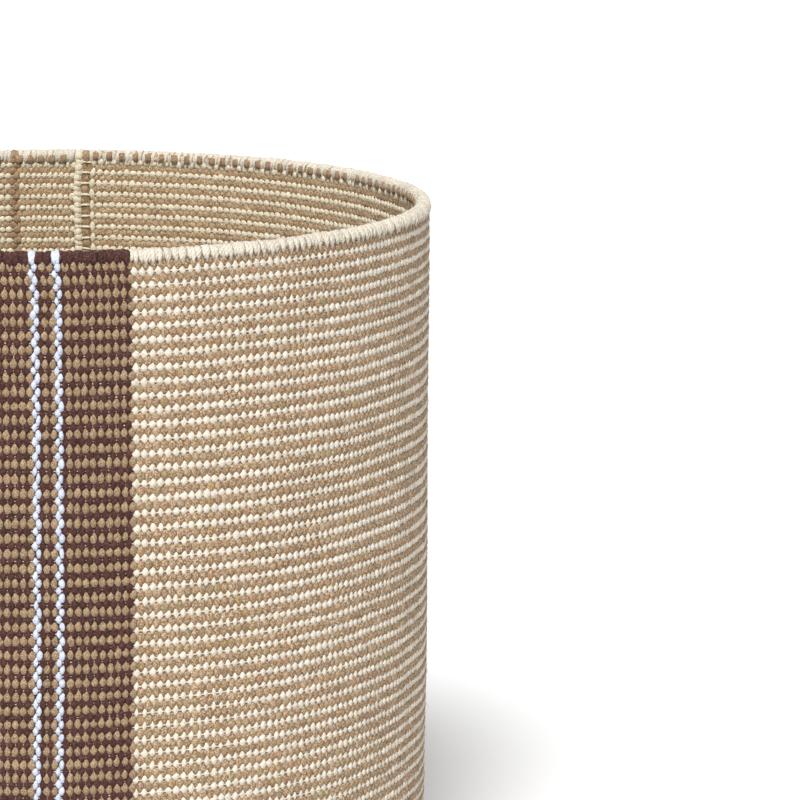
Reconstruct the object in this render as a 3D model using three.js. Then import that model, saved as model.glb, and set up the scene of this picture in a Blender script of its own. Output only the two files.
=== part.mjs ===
// A round basket with a double wall of warp-faced cloth, handwoven on thick yarn.
// The cloth is a sleeve: it goes up the outside, over a cord at the rim, down the inside and under a
// second cord at the foot. One dark stripe with two pale lines faces the front, and the sleeve's two
// selvedges are laced together at the back. Two woven discs, stitched to the foot, close the bottom.
// Units are millimetres, +Z is up, and the front of the basket faces -Y.
import * as THREE from "three";

// The wall
const outerRadius = 200;
const height = 380;
const clothThickness = 2.6;
const layerGap = 0.6;

// The two cords and the yarn that turns over them
const cordDiameter = 5;
const wrapThickness = 1.4;
const footFlatDepth = 0.5;

// The warp: one pair is a face yarn and its neighbour, and the stripe is counted in pairs
const stripePairPitch = 3.6;
const brownPairsEachSide = 9;
const brownPairsInMiddle = 2;

// The selvedge lacing, measured from straight behind towards +X
const seamAngle = THREE.MathUtils.degToRad(6.6);
const seamWidth = 8.2;
const lacingThickness = 0.7;

// The base
const discThickness = 2.7;
const baseStitchHeight = 2;
const baseStitchWidth = 2.2;

// Between neighbours, and the facets of a full turn
const clearance = 0.3;
const facetsPerTurn = 72;
const cordSides = 8;
const wrapSteps = 6;

// What follows from them
const wallThickness = 2 * clothThickness + layerGap;
const innerRadius = outerRadius - wallThickness;
const cordRadius = cordDiameter / 2;
const cordRingRadius = outerRadius - wallThickness / 2;
const wrapInnerRadius = cordRadius + clearance;
const wrapOuterRadius = wrapInnerRadius + wrapThickness;
const rimCordHeight = height - wrapOuterRadius;
const footCordHeight = wrapOuterRadius - footFlatDepth;
const clothTop = rimCordHeight - cordRadius - clearance;
const clothBottom = footCordHeight + cordRadius + clearance;
const discRadius = cordRingRadius - wrapOuterRadius - clearance;
const lowerDiscTop = discThickness;
const upperDiscBottom = lowerDiscTop + clearance;
const upperDiscTop = upperDiscBottom + discThickness;

// The stripe's yarn groups, from its left edge to its right, as angles from the front
const pairAngle = stripePairPitch / outerRadius;
const stripeGroups = [
  ["brown_left", "brown", brownPairsEachSide],
  ["lavender_left", "lavender", 1],
  ["brown_middle", "brown", brownPairsInMiddle],
  ["lavender_right", "lavender", 1],
  ["brown_right", "brown", brownPairsEachSide],
];
const stripePairs = stripeGroups.reduce((sum, group) => sum + group[2], 0);
const stripeHalfAngle = (stripePairs * pairAngle) / 2;

const colours = {
  natural: new THREE.MeshStandardMaterial({ color: 0xcdb998, roughness: 0.95, metalness: 0 }),
  brown: new THREE.MeshStandardMaterial({ color: 0x4a3330, roughness: 0.95, metalness: 0 }),
  lavender: new THREE.MeshStandardMaterial({ color: 0xc9d2ee, roughness: 0.9, metalness: 0 }),
  cream: new THREE.MeshStandardMaterial({ color: 0xe9dfc8, roughness: 0.95, metalness: 0 }),
  cord: new THREE.MeshStandardMaterial({ color: 0xb9a47f, roughness: 0.95, metalness: 0 }),
};

const basket = new THREE.Group();

// Adds one piece to the basket under its own name.
function addPiece(name, geometry, colour, z = 0) {
  const piece = new THREE.Mesh(geometry, colours[colour]);
  piece.name = name;
  piece.position.z = z;
  basket.add(piece);
  return piece;
}

// The angles at which a sector has a section: its two ends and the facets' common corners between.
function sectionAngles(start, end) {
  const facet = (2 * Math.PI) / facetsPerTurn;
  const angles = [start];
  for (let k = Math.floor(start / facet) + 1; k * facet < end; k++) {
    const closeToEnd = k * facet - start < facet / 50 || end - k * facet < facet / 50;
    if (!closeToEnd) angles.push(k * facet);
  }
  angles.push(end);
  return angles;
}

// Part of a ring: an outline in (radius, height), anticlockwise, swept about Z between two angles.
function ringSector(outline, start, end) {
  const angles = sectionAngles(start, end);
  const count = outline.length;
  const positions = [];
  for (const angle of angles) {
    for (const point of outline) {
      positions.push(point.x * Math.sin(angle), -point.x * Math.cos(angle), point.y);
    }
  }
  const faces = [];
  for (let i = 0; i + 1 < angles.length; i++) {
    for (let j = 0; j < count; j++) {
      const a = i * count + j;
      const b = i * count + ((j + 1) % count);
      faces.push(a, b + count, b, a, a + count, b + count);
    }
  }
  const last = (angles.length - 1) * count;
  for (const [a, b, c] of THREE.ShapeUtils.triangulateShape(outline, [])) {
    faces.push(a, b, c, last + a, last + c, last + b);
  }
  const geometry = new THREE.BufferGeometry();
  geometry.setAttribute("position", new THREE.Float32BufferAttribute(positions, 3));
  geometry.setIndex(faces);
  geometry.computeVertexNormals();
  return geometry;
}

// A whole ring: a closed outline turned about Z.
function fullRing(outline) {
  const closed = [...outline, outline[0].clone()];
  const geometry = new THREE.LatheGeometry(closed, facetsPerTurn);
  geometry.rotateX(Math.PI / 2);
  return geometry;
}

// A rectangle in (radius, height).
function band(innerEdge, outerEdge, bottom, top) {
  return [
    new THREE.Vector2(innerEdge, bottom),
    new THREE.Vector2(outerEdge, bottom),
    new THREE.Vector2(outerEdge, top),
    new THREE.Vector2(innerEdge, top),
  ];
}

// Points along an arc about the cord's centre line, in (radius, height) from that centre.
function cordArc(radius, start, end, steps) {
  return Array.from({ length: steps + 1 }, (_, k) => {
    const angle = start + (k / steps) * (end - start);
    return new THREE.Vector2(radius * Math.cos(angle), radius * Math.sin(angle));
  });
}

// The yarn over a cord, as a C in section whose ends stop a clearance short of the cloth. The C is
// drawn as it lies on the rim, open below, and turned over for the foot, where it is cut flat.
function wrapOutline(cordHeight, clothEdge, onFoot) {
  const up = Math.PI / 2;
  const openEdge = Math.abs(cordHeight - clothEdge) - clearance;
  const reach = Math.asin(openEdge / wrapOuterRadius);
  const flat = onFoot ? Math.acos(cordHeight / wrapOuterRadius) : 0;
  const outside = cordArc(wrapOuterRadius, -reach, up - flat, wrapSteps / 2);
  const inside = cordArc(wrapOuterRadius, up + flat, 2 * up + reach, wrapSteps / 2);
  const hollow = cordArc(wrapInnerRadius, 2 * up + reach, -reach, wrapSteps);
  const outline = [...outside, ...inside.slice(onFoot ? 0 : 1), ...hollow];
  const side = onFoot ? -1 : 1;
  const placed = outline.map((p) => new THREE.Vector2(cordRingRadius + p.x, cordHeight + side * p.y));
  return onFoot ? placed.reverse() : placed;
}

// The cloth and the turned yarn, group by group round the basket
const outerCloth = band(outerRadius - clothThickness, outerRadius, clothBottom, clothTop);
const innerCloth = band(innerRadius, innerRadius + clothThickness, clothBottom, clothTop);
const rimWrap = wrapOutline(rimCordHeight, clothTop, false);
const footWrap = wrapOutline(footCordHeight, clothBottom, true);

function addYarnGroup(name, colour, start, end) {
  const halfGap = clearance / (2 * innerRadius);
  const from = start + halfGap;
  const to = end - halfGap;
  addPiece(`outer_wall_${name}`, ringSector(outerCloth, from, to), colour);
  addPiece(`inner_wall_${name}`, ringSector(innerCloth, from, to), colour);
  addPiece(`rim_turn_${name}`, ringSector(rimWrap, from, to), colour);
  addPiece(`foot_turn_${name}`, ringSector(footWrap, from, to), colour);
}

let edge = -stripeHalfAngle;
for (const [name, colour, pairs] of stripeGroups) {
  addYarnGroup(name, colour, edge, edge + pairs * pairAngle);
  edge += pairs * pairAngle;
}
const seamCentre = Math.PI - seamAngle;
addYarnGroup("natural_right", "natural", stripeHalfAngle, seamCentre);
addYarnGroup("natural_left", "natural", seamCentre, 2 * Math.PI - stripeHalfAngle);

// The lacing that joins the selvedges, on the outer and on the inner face
function addLacing(name, innerEdge) {
  const halfAngle = seamWidth / 2 / outerRadius;
  const outline = band(innerEdge, innerEdge + lacingThickness, clothBottom, clothTop);
  addPiece(name, ringSector(outline, seamCentre - halfAngle, seamCentre + halfAngle), "cream");
}
addLacing("outer_seam_lacing", outerRadius + clearance);
addLacing("inner_seam_lacing", innerRadius - clearance - lacingThickness);

// The cords inside the rim and the foot
const cordOutline = Array.from({ length: cordSides }, (_, k) => {
  const angle = ((k + 0.5) / cordSides) * 2 * Math.PI;
  return new THREE.Vector2(cordRingRadius + cordRadius * Math.cos(angle), cordRadius * Math.sin(angle));
});
addPiece("rim_cord", fullRing(cordOutline), "cord", rimCordHeight);
addPiece("foot_cord", fullRing(cordOutline), "cord", footCordHeight);

// The two woven discs of the base, and the overcast stitches that tie them to the turned yarn
function addDisc(name, bottom) {
  const disc = new THREE.CylinderGeometry(discRadius, discRadius, discThickness, facetsPerTurn);
  disc.rotateX(Math.PI / 2);
  addPiece(name, disc, "natural", bottom + discThickness / 2);
}
addDisc("base_lower_disc", 0);
addDisc("base_upper_disc", upperDiscBottom);

const stitchOuterEdge = discRadius;
const stitchBottom = upperDiscTop + clearance;
const baseStitch = [
  new THREE.Vector2(stitchOuterEdge - baseStitchWidth, stitchBottom),
  new THREE.Vector2(stitchOuterEdge, stitchBottom),
  new THREE.Vector2(stitchOuterEdge, stitchBottom + baseStitchHeight),
  new THREE.Vector2(stitchOuterEdge - baseStitchWidth / 3, stitchBottom + baseStitchHeight),
  new THREE.Vector2(stitchOuterEdge - baseStitchWidth, stitchBottom + baseStitchHeight / 2),
];
addPiece("base_stitching", fullRing(baseStitch), "cream");

export default basket;
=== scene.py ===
# A round basket of thick handwoven cloth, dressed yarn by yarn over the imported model.
# The cloth is a sleeve: up the outside, over a cord at the rim, down the inside and under a second
# cord at the foot. Metres, +Z up, the front faces -Y. Angles run from the front towards +X.
# The dictionaries hold millimetres and degrees.
import math
from functools import partial
import bpy
from mathutils import Matrix, Vector


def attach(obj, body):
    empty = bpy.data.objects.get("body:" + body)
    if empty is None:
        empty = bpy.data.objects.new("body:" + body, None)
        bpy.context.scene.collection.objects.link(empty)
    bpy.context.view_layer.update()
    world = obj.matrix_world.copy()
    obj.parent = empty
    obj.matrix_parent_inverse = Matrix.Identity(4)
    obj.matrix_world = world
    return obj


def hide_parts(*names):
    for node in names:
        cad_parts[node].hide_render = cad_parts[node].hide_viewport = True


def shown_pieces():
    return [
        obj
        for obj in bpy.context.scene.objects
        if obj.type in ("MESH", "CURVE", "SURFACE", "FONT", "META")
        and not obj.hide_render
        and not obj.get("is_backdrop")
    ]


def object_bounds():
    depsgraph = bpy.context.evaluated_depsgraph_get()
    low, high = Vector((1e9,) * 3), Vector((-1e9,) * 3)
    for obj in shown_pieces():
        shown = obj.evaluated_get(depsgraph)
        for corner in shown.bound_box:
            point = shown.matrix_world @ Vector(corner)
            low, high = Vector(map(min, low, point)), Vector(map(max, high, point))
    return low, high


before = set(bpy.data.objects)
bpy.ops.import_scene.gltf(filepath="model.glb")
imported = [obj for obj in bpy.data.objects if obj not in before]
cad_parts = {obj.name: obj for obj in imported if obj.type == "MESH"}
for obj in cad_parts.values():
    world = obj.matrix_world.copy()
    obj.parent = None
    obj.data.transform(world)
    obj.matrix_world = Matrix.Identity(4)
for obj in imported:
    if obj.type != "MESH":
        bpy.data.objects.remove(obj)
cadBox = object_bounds()
mm = 0.001
rimTop = cadBox[1][2]
wallRadius = 200
facetDegrees = 2.4  # how far one facet of a backing goes round
scene = bpy.context.scene
print("frame loaded")


def linearColour(hexText):
    parts = [int(hexText[k:k + 2], 16) / 255 for k in (1, 3, 5)]
    return [p / 12.92 if p <= 0.04045 else ((p + 0.055) / 1.055) ** 2.4 for p in parts] + [1.0]


# Adds a node with its settings and links. The family in front of its kind may be left out. An input
# may be a number, a socket or a node, whose first output is then taken.
def addNode(tree, kind, inputs=(), operation=None, **settings):
    if "Node" not in kind:
        families = ("GeometryNode", "ShaderNode", "FunctionNode")
        kind = next(family + kind for family in families if hasattr(bpy.types, family + kind))
    node = tree.nodes.new(kind)
    node.location.x = 190 * len(tree.nodes)
    if operation:
        node.operation = operation
    for key, value in settings.items():
        setattr(node, key, value)
    for key, value in inputs.items() if isinstance(inputs, dict) else enumerate(inputs):
        if isinstance(value, bpy.types.Node):
            value = value.outputs[0]
        if isinstance(value, bpy.types.NodeSocket):
            tree.links.new(value, node.inputs[key])
        elif value is not None:
            node.inputs[key].default_value = value
    return node


# Empties the tree of a material or of the room, and returns what adds nodes to it
def emptyTree(owner):
    owner.use_nodes = True
    owner.node_tree.nodes.clear()
    return partial(addNode, owner.node_tree)


# Camera: 1.9 m in front of the basket, a little above the rim, as the photograph's perspective gives
view = {
    "distance": 1900,
    "aboveRim": 254,
    "turnRight": 5.62,
    "tiltDown": 10.82,
    "roll": 0.34,
    "focalPixels": 3668,
    "sensor": 36,
    "framePixels": 800,
}

cameraData = bpy.data.cameras.new("Camera")
cameraData.sensor_width = view["sensor"]
cameraData.lens = view["focalPixels"] * view["sensor"] / view["framePixels"]
cameraData.clip_end = 100
camera = bpy.data.objects.new("Camera", cameraData)
aim = Matrix.Rotation(math.radians(-view["turnRight"]), 3, "Z")
aim = aim @ Matrix.Rotation(math.radians(90 - view["tiltDown"]), 3, "X")
aim = aim @ Matrix.Rotation(math.radians(view["roll"]), 3, "Z")
camera.rotation_euler = aim.to_euler()
camera.location = (0, -view["distance"] * mm, rimTop + view["aboveRim"] * mm)
scene.collection.objects.link(camera)
scene.camera = camera

# Light: a soft key from the front left and a wide low fill from the front, in a white room
light = {
    "key": {"strength": 3.22, "softness": 20, "fromLeft": 15, "height": 53},
    "fill": {"strength": 0.6, "softness": 60, "fromLeft": 22, "height": 4},
    "roomStrength": 0.29,
    "floorColour": "#EFEFEF",
    "floorGlow": 0.17,
    "floorReach": 30,
    "floorDrop": 0.2,
}

for name in ("key", "fill"):
    lamp = light[name]
    sunData = bpy.data.lights.new(name, "SUN")
    sunData.energy = lamp["strength"]
    sunData.angle = math.radians(lamp["softness"])
    sun = bpy.data.objects.new(name, sunData)
    sun.rotation_euler = (math.radians(90 - lamp["height"]), 0, math.radians(-lamp["fromLeft"]))
    scene.collection.objects.link(sun)

world = bpy.data.worlds.new("Room")
scene.world = world
add = emptyTree(world)
rays = add("LightPath").outputs
seen = add("Math", [rays["Is Camera Ray"], rays["Is Glossy Ray"]], "MAXIMUM")
seen = add("Math", [seen, rays["Is Transmission Ray"]], "MAXIMUM")
room = add("Background", [(1, 1, 1, 1), light["roomStrength"]])
white = add("Background", [(1, 1, 1, 1), 1.0])
add("OutputWorld", [add("MixShader", [seen, room, white])])

# Matt white painted floor: it keeps the shadow, and glows a little to the camera so that it is white
floorFinish = bpy.data.materials.new("Matt white studio floor")
add = emptyTree(floorFinish)
rays = add("LightPath").outputs
paint = add("BsdfDiffuse", [linearColour(light["floorColour"])])
glow = add("Math", [rays["Is Camera Ray"], light["floorGlow"]], "MULTIPLY")
glow = add("Emission", {"Strength": glow})
add("OutputMaterial", [add("AddShader", [paint, glow])])
reach = light["floorReach"]
floorMesh = bpy.data.meshes.new("Floor")
floorMesh.from_pydata([(-reach, -reach, 0), (reach, -reach, 0), (reach, reach, 0), (-reach, reach, 0)],
                      [], [(0, 1, 2, 3)])
floorMesh.materials.append(floorFinish)
floor = bpy.data.objects.new("Floor", floorMesh)
floor.location.z = -light["floorDrop"] * mm
scene.collection.objects.link(floor)
floor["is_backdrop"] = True
print("camera, light and floor set")


# Sets the colours of a ramp, each a place and an sRGB hex. A stepped ramp does not blend them.
def fillRamp(node, stops, stepped=False):
    ramp = node.color_ramp
    if stepped:
        ramp.interpolation = "CONSTANT"
    for end, (spot, colour) in zip(ramp.elements, (stops[0], stops[-1])):
        end.position = spot
        end.color = linearColour(colour)
    for spot, colour in stops[1:-1]:
        ramp.elements.new(spot).color = linearColour(colour)


# Yarns. Each reads where it is along and across its own yarn, in millimetres, from the attribute
# "yarn", and a number for the whole float from "tone".
# fibres: dark, middle and light colour of the spun fibre. lots: the colours of odd floats, and the
# share of floats that have them. flecks: stray fibres of other colours, and their share.
def yarnMaterial(name, look):
    material = bpy.data.materials.new(name)
    add = emptyTree(material)
    place = add("TexCoord").outputs["Object"]
    yarn = add("Attribute", attribute_name="yarn").outputs["Vector"]
    tone = add("Attribute", attribute_name="tone").outputs["Fac"]
    chance = add("SeparateXYZ", [yarn]).outputs[2]

    dark, middle, pale = look["fibres"]
    spun = {"Vector": place, "Scale": 1 / (look["fibreMm"] * mm), "Detail": 2.5, "Roughness": 0.65}
    colour = add("ValToRGB", [add("TexNoise", spun)])
    fillRamp(colour, [(0.33, dark), (0.5, middle), (0.67, pale)])

    if look.get("lots"):
        count = len(look["lots"])
        stops = [(1 - look["lotShare"] * (1 - k / count), lot) for k, lot in enumerate(look["lots"])]
        lots = add("ValToRGB", [tone])
        fillRamp(lots, [(0, middle), *stops], stepped=True)
        odd = add("Math", [tone, 1 - look["lotShare"]], "GREATER_THAN")
        odd = add("Math", [odd, look["lotStrength"]], "MULTIPLY")
        colour = add("Mix", {0: odd, 6: colour, 7: lots}, data_type="RGBA").outputs[2]

    if look.get("flecks"):
        count = len(look["flecks"])
        cells = add("TexVoronoi", {"Vector": place, "Scale": 1 / (look["fleckMm"] * mm)}).outputs
        kind = add("SeparateColor", [cells["Color"]])
        flecks = add("ValToRGB", [kind])
        fillRamp(flecks, [(k / count, fleck) for k, fleck in enumerate(look["flecks"])], stepped=True)
        near = add("MapRange", [cells["Distance"], 0.5, 0.3, 0.0, 1.0])
        few = add("Math", [kind.outputs[1], look["fleckShare"]], "LESS_THAN")
        few = add("Math", [near, few], "MULTIPLY")
        few = add("Math", [few, look["fleckStrength"]], "MULTIPLY")
        colour = add("Mix", {0: few, 6: colour, 7: flecks}, data_type="RGBA").outputs[2]

    # Two plies twisted together show as slanting ridges. Besides the bump, the colour is darkened in the
    # valleys between them: painted shade
    slant = add("Mapping", {"Vector": yarn, "Rotation": (0, 0, math.radians(look["twistSlant"]))})
    pitch = math.pi / (10 * look["twistMm"])
    twist = {"Vector": slant, "Scale": pitch, "Distortion": 2.0, "Detail Scale": 1.0}
    plies = add("TexWave", twist, bands_direction="Y").outputs[1]
    paintedValleyShade = add("MapRange", [plies, 0.0, 0.5, 1 - look["paintedValleyShade"], 1.0])
    level = add("MapRange", [chance, 0.0, 1.0, 1 - look["spread"], 1 + look["spread"]])
    level = add("Math", [level, paintedValleyShade], "MULTIPLY")
    colour = add("HueSaturation", {"Value": level, "Color": colour})

    fuzz = add("TexNoise", {"Vector": place, "Scale": 1 / (look["fuzzMm"] * mm), "Detail": 2.0})
    height = add("Math", [plies, look["plyHeight"], fuzz], "MULTIPLY_ADD")
    relief = {"Strength": look["bump"], "Distance": look["reliefMm"] * mm, "Height": height}
    shader = add("BsdfPrincipled", {
        "Base Color": colour,
        "Normal": add("Bump", relief),
        "Roughness": look["roughness"],
        "Specular IOR Level": look["specular"],
        "Sheen Weight": look["sheen"],
        "Sheen Roughness": look["sheenRoughness"],
    })
    add("OutputMaterial", [shader])
    return material


plainTwist = {
    "fibreMm": 1.0,
    "twistMm": 1.3,
    "twistSlant": 38,
    "paintedValleyShade": 0.12,
    "spread": 0.05,
    "bump": 0.5,
    "roughness": 0.92,
    "specular": 0.25,
    "sheen": 0.08,
    "sheenRoughness": 0.6,
    "fuzzMm": 0.45,
    "plyHeight": 0.7,
    "reliefMm": 0.25,
}
heather = {
    "fibreMm": 0.8,
    "lots": ["#AC9156", "#AD7A58", "#9C9468", "#8A725A", "#CDB497"],
    "lotShare": 0.26,
    "lotStrength": 0.26,
    "flecks": ["#A9683E", "#8F4436", "#B5964F", "#6B6A48", "#43423F", "#EADBC2"],
    "fleckMm": 1.1,
    "fleckShare": 0.16,
    "fleckStrength": 0.75,
    "paintedValleyShade": 0.16,
    "spread": 0.09,
}
finishes = {
    # Undyed two-ply cotton: soft, matt, nearly even, with painted shade in its valleys
    "cream": yarnMaterial("Undyed two-ply cotton", plainTwist | {
        "fibres": ["#D9CDB9", "#E9DFCF", "#F4ECDF"],
    }),
    # The same cotton tinted yellower, as painted warm light where it lies in shade: on the inner face, and
    # on the seam's lacing and rungs
    "creamPaintedWarmLight": yarnMaterial("Undyed two-ply cotton, tinted with painted warm light", plainTwist | {
        "fibres": ["#D7CAAD", "#ECE0C5", "#F5ECD8"],
    }),
    # The same cotton where it is turned over the rim: fuzzy, a little darker than on the wall as painted
    # shade against the light on the rim's top, and with deeper painted shade in its valleys
    "rimCream": yarnMaterial("Undyed two-ply cotton, fuzzy, with painted shade", plainTwist | {
        "fibres": ["#D3C8B2", "#E6DCCA", "#F3ECDF"],
        "fibreMm": 0.6,
        "twistSlant": 48,
        "paintedValleyShade": 0.2,
        "spread": 0.07,
        "bump": 1.0,
        "sheen": 0.12,
    }),
    # Recycled wool and cotton spun undyed: heathered, with coloured waste fibres left in
    "tan": yarnMaterial("Heathered recycled wool and cotton", plainTwist | heather | {
        "fibres": ["#6F563C", "#AB8D6D", "#D9C4A5"],
    }),
    # The same yarn made lighter, as painted light where it lies in shade: on the inner face and in the
    # seam's squares
    "tanPaintedLight": yarnMaterial("Heathered recycled wool and cotton, clean", plainTwist | heather | {
        "fibres": ["#856A4B", "#B99B77", "#DECAA8"],
        "paintedValleyShade": 0.08,
    }),
    # The single line of darker tan beside the seam; the same darker tan also stands as painted shade on the
    # squares in the rim's inner windows
    "darkTanAndWindowShade": yarnMaterial("Dark tan recycled wool, also painted window shade", plainTwist | {
        "fibres": ["#705640", "#A4876A", "#C8AE8C"],
        "fibreMm": 0.6,
        "spread": 0.08,
    }),
    # The stripe's second yarn: the same wool, cleaner and more golden
    "gold": yarnMaterial("Golden tan wool", plainTwist | {
        "fibres": ["#71583E", "#A18668", "#C8B190"],
        "fibreMm": 0.6,
        "spread": 0.08,
    }),
    # Wool dyed dark brown: matt, a little reddish where light catches it
    "brown": yarnMaterial("Wool dyed dark brown", plainTwist | {
        "fibres": ["#361F1C", "#4C2D28", "#68453D"],
        "spread": 0.12,
        "sheen": 0.04,
    }),
    # Brushed wool dyed pale lavender: fuzzy, with painted shade in its valleys
    "lavender": yarnMaterial("Brushed wool dyed pale lavender", plainTwist | {
        "fibres": ["#C0C8DE", "#D7DDEE", "#EAEEF8"],
        "bump": 0.8,
        "sheen": 0.2,
    }),
    # Fine single cotton, the weft
    "weft": yarnMaterial("Single cotton weft", plainTwist | {
        "fibres": ["#D9CBB0", "#EADFC8", "#F4ECDA"],
        "twistMm": 0.9,
    }),
    # What shows deep between the floats: the same yarns pressed flat, coloured darker than either as painted
    # shade in the gaps
    "ground": yarnMaterial("Tan and cream yarn, pressed flat, darkened as painted shade", plainTwist | {
        "fibres": ["#735B41", "#977A5B", "#B99F7D"],
        "fibreMm": 0.8,
    }),
    "darkGround": yarnMaterial("Dark brown yarn, pressed flat", plainTwist | {
        "fibres": ["#33211F", "#4C3531", "#6A5142"],
        "fibreMm": 1.6,
    }),
    # Laid jute cord: coarse, straw coloured
    "jute": yarnMaterial("Laid jute cord", plainTwist | {
        "fibres": ["#94794F", "#B79D73", "#CDB68F"],
        "twistMm": 4.0,
        "paintedValleyShade": 0.4,
    }),
}
print("yarn materials made:", len(finishes))


# Even steps from -0.5 to 0.5
def evenly(steps):
    return [k / steps - 0.5 for k in range(steps + 1)]


# A point at an angle round the basket's axis
def onRing(radius, angle, height):
    return (radius * mm * math.sin(angle), -radius * mm * math.cos(angle), height * mm)


# A closed mesh from rings of points along a path. A ring of one point closes an end to a tip, and any
# other end ring is capped. The corners keep where they are across and along the yarn in "yarnPlace".
def ringMesh(name, rings, across, along):
    points = [Vector(p) for ring in rings for p in ring]
    firsts = [sum(len(r) for r in rings[:k]) for k in range(len(rings))]
    sides = len(across) - 1
    faces = []
    places = []

    def corner(ring, side):
        size = len(rings[ring])
        return firsts[ring] + (side % size if size > 1 else 0)

    for ring in range(len(rings) - 1):
        for side in range(sides):
            around = {}
            for r, s in ((ring, side), (ring, side + 1), (ring + 1, side + 1), (ring + 1, side)):
                around.setdefault(corner(r, s), (across[s], along[r], 0))
            faces.append(list(around))
            places.append(list(around.values()))
    for ring in (0, len(rings) - 1):
        if len(rings[ring]) > 1:
            cap = [corner(ring, side) for side in range(sides)]
            faces.append(cap if ring else cap[::-1])
            places.append([(across[-1], along[ring], 0)] * sides)

    volume = 0.0
    for face in faces:
        for b, c in zip(face[1:], face[2:]):
            volume += points[face[0]].dot(points[b].cross(points[c]))
    if volume < 0:
        faces = [face[::-1] for face in faces]
        places = [place[::-1] for place in places]

    mesh = bpy.data.meshes.new(name)
    mesh.from_pydata(points, [], faces)
    layer = mesh.attributes.new("yarnPlace", "FLOAT_VECTOR", "CORNER")
    layer.data.foreach_set("vector", [v for place in places for p in place for v in p])
    return mesh


def helperObject(name, mesh):
    helper = bpy.data.objects.new(name, mesh)
    scene.collection.objects.link(helper)
    return helper


# One float of a yarn, in unit sizes: x across, z along, -y outwards, flat underneath
def floatMesh(name, stations, crown):
    profile = [(-0.5, 0), (-crown, 1), (crown, 1), (0.5, 0)]
    rings = [[(x * wide, -y * high, z) for x, y in profile] for z, wide, high in stations]
    rings = [[(0, 0, -0.5)], *rings, [(0, 0, 0.5)]]
    across = [x for x, y in profile] + [0.5]
    return ringMesh(name, rings, across, [-0.5] + [station[0] for station in stations] + [0.5])


# Place, width and height at stations along a float, and half the width of its crown
floatShapes = {
    "pointed": ([(-0.27, 0.56, 0.74), (0, 1, 1), (0.27, 0.56, 0.74)], 0.34),
    "round": ([(-0.31, 0.74, 0.8), (0, 1, 1), (0.31, 0.74, 0.8)], 0.3),
    "short": ([(-0.2, 0.95, 1), (0.2, 0.95, 1)], 0.3),
    "blunt": ([(-0.45, 0.9, 0.7), (0, 1, 1), (0.45, 0.9, 0.7)], 0.4),
}
floats = {}
for name, shape in floatShapes.items():
    floats[name] = helperObject(name + " float", floatMesh(name, *shape))

# The yarns turned over the rim cord and under the foot cord. bends and girth go from a yarn's tip on
# the outer face to its tail on the inner face. The numbers after them say how loosely the yarns lie,
# and how far along a yarn its gathered ends reach.
turn = {
    "ringRadius": 197.1,
    "rimCordHeight": 375.8,
    "footCordHeight": 3.7,
    "footClearance": 0.02,
    "coil": 3.35,
    "under": (2.4, 2.95),
    "underClearance": 0.5,
    "yarnWidth": 2.85,
    "yarnThickness": 1.5,
    "yarnSize": (5.5, 17.0, 0.0),
    "sides": 6,
    "bends": [-32, 0, 34, 68, 102, 132, 152, 168, 184],
    "tail": (0.3, -4.2),
    "girth": [0.3, 0.85, 1, 1, 1, 1, 1, 1, 0.95, 0.45],
    "loosePlace": 0.1,
    "looseSize": (0.12, 0.002, 0.001),
    "looseGather": 0.2,
    "looseSlant": 0.7,
    "longerTip": 1.2,
    "looseTip": 1.1,
    "outerEnd": (0.0, 0.34),
    "innerEnd": (0.6, 0.77),
    "tipEnd": 0.14,
}


# One yarn turned over the rim cord, at the front: from its tip on the outer face, over, to its tip on
# the inner face. For the foot it is turned over, and pressed flat where the basket stands on it.
def turnedMesh(name, onFoot):
    coil = turn["coil"]
    path = [(coil * math.cos(math.radians(a)), coil * math.sin(math.radians(a)), a) for a in turn["bends"]]
    path.append((turn["tail"][0] - coil, turn["tail"][1], turn["bends"][-1]))
    rings = []
    for (out, up, bend), size in zip(path, turn["girth"]):
        ring = []
        for k in range(turn["sides"]):
            phase = 2 * math.pi * k / turn["sides"]
            side = size * turn["yarnWidth"] / 2 * math.cos(phase)
            lift = (0.5 + size / 2) * turn["yarnThickness"] / 2 * math.sin(phase)
            radius = turn["ringRadius"] + out + lift * math.cos(math.radians(bend))
            rise = up + lift * math.sin(math.radians(bend))
            height = turn["rimCordHeight"] + rise
            if onFoot:
                height = max(turn["footCordHeight"] - rise, turn["footClearance"])
            ring.append((side * mm, -radius * mm, height * mm))
        rings.append(ring)
    last = len(path) - 1
    return ringMesh(name, rings, evenly(turn["sides"]), [k / last for k in range(last + 1)])


# What lies under the turned yarns and shows in the gaps between them: part of a tube about the cord,
# between two bends
def underMesh(name, first, last, bends, onFoot):
    steps = max(2, round((last - first) / facetDegrees))
    inner, outer = turn["under"]
    outline = [(outer, math.radians(b)) for b in bends] + [(inner, math.radians(b)) for b in bends[::-1]]
    rings = []
    for k in range(steps + 1):
        angle = math.radians(first + (last - first) * k / steps)
        ring = []
        for size, bend in outline:
            rise = size * math.sin(bend)
            height = turn["rimCordHeight"] + rise
            if onFoot:
                height = max(turn["footCordHeight"] - rise, turn["underClearance"])
            ring.append(onRing(turn["ringRadius"] + size * math.cos(bend), angle, height))
        rings.append(ring)
    return ringMesh(name, rings, evenly(len(outline)), evenly(steps))


rimYarn = helperObject("Rim yarn", turnedMesh("Rim yarn", False))
footYarn = helperObject("Foot yarn", turnedMesh("Foot yarn", True))


# A node tree with its inputs, each a name, a kind and a default. Returns the tree, what adds nodes to
# it, and its inputs.
def newTree(name, sockets, output=("Geometry", "Geometry")):
    tree = bpy.data.node_groups.new(name, "GeometryNodeTree")
    tree.interface.new_socket(output[0], in_out="OUTPUT", socket_type="NodeSocket" + output[1])
    for label, kind, *default in sockets:
        socket = tree.interface.new_socket(label, in_out="INPUT", socket_type="NodeSocket" + kind)
        if default:
            socket.default_value = default[0]
    add = partial(addNode, tree)
    return tree, add, add("NodeGroupInput").outputs


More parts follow.
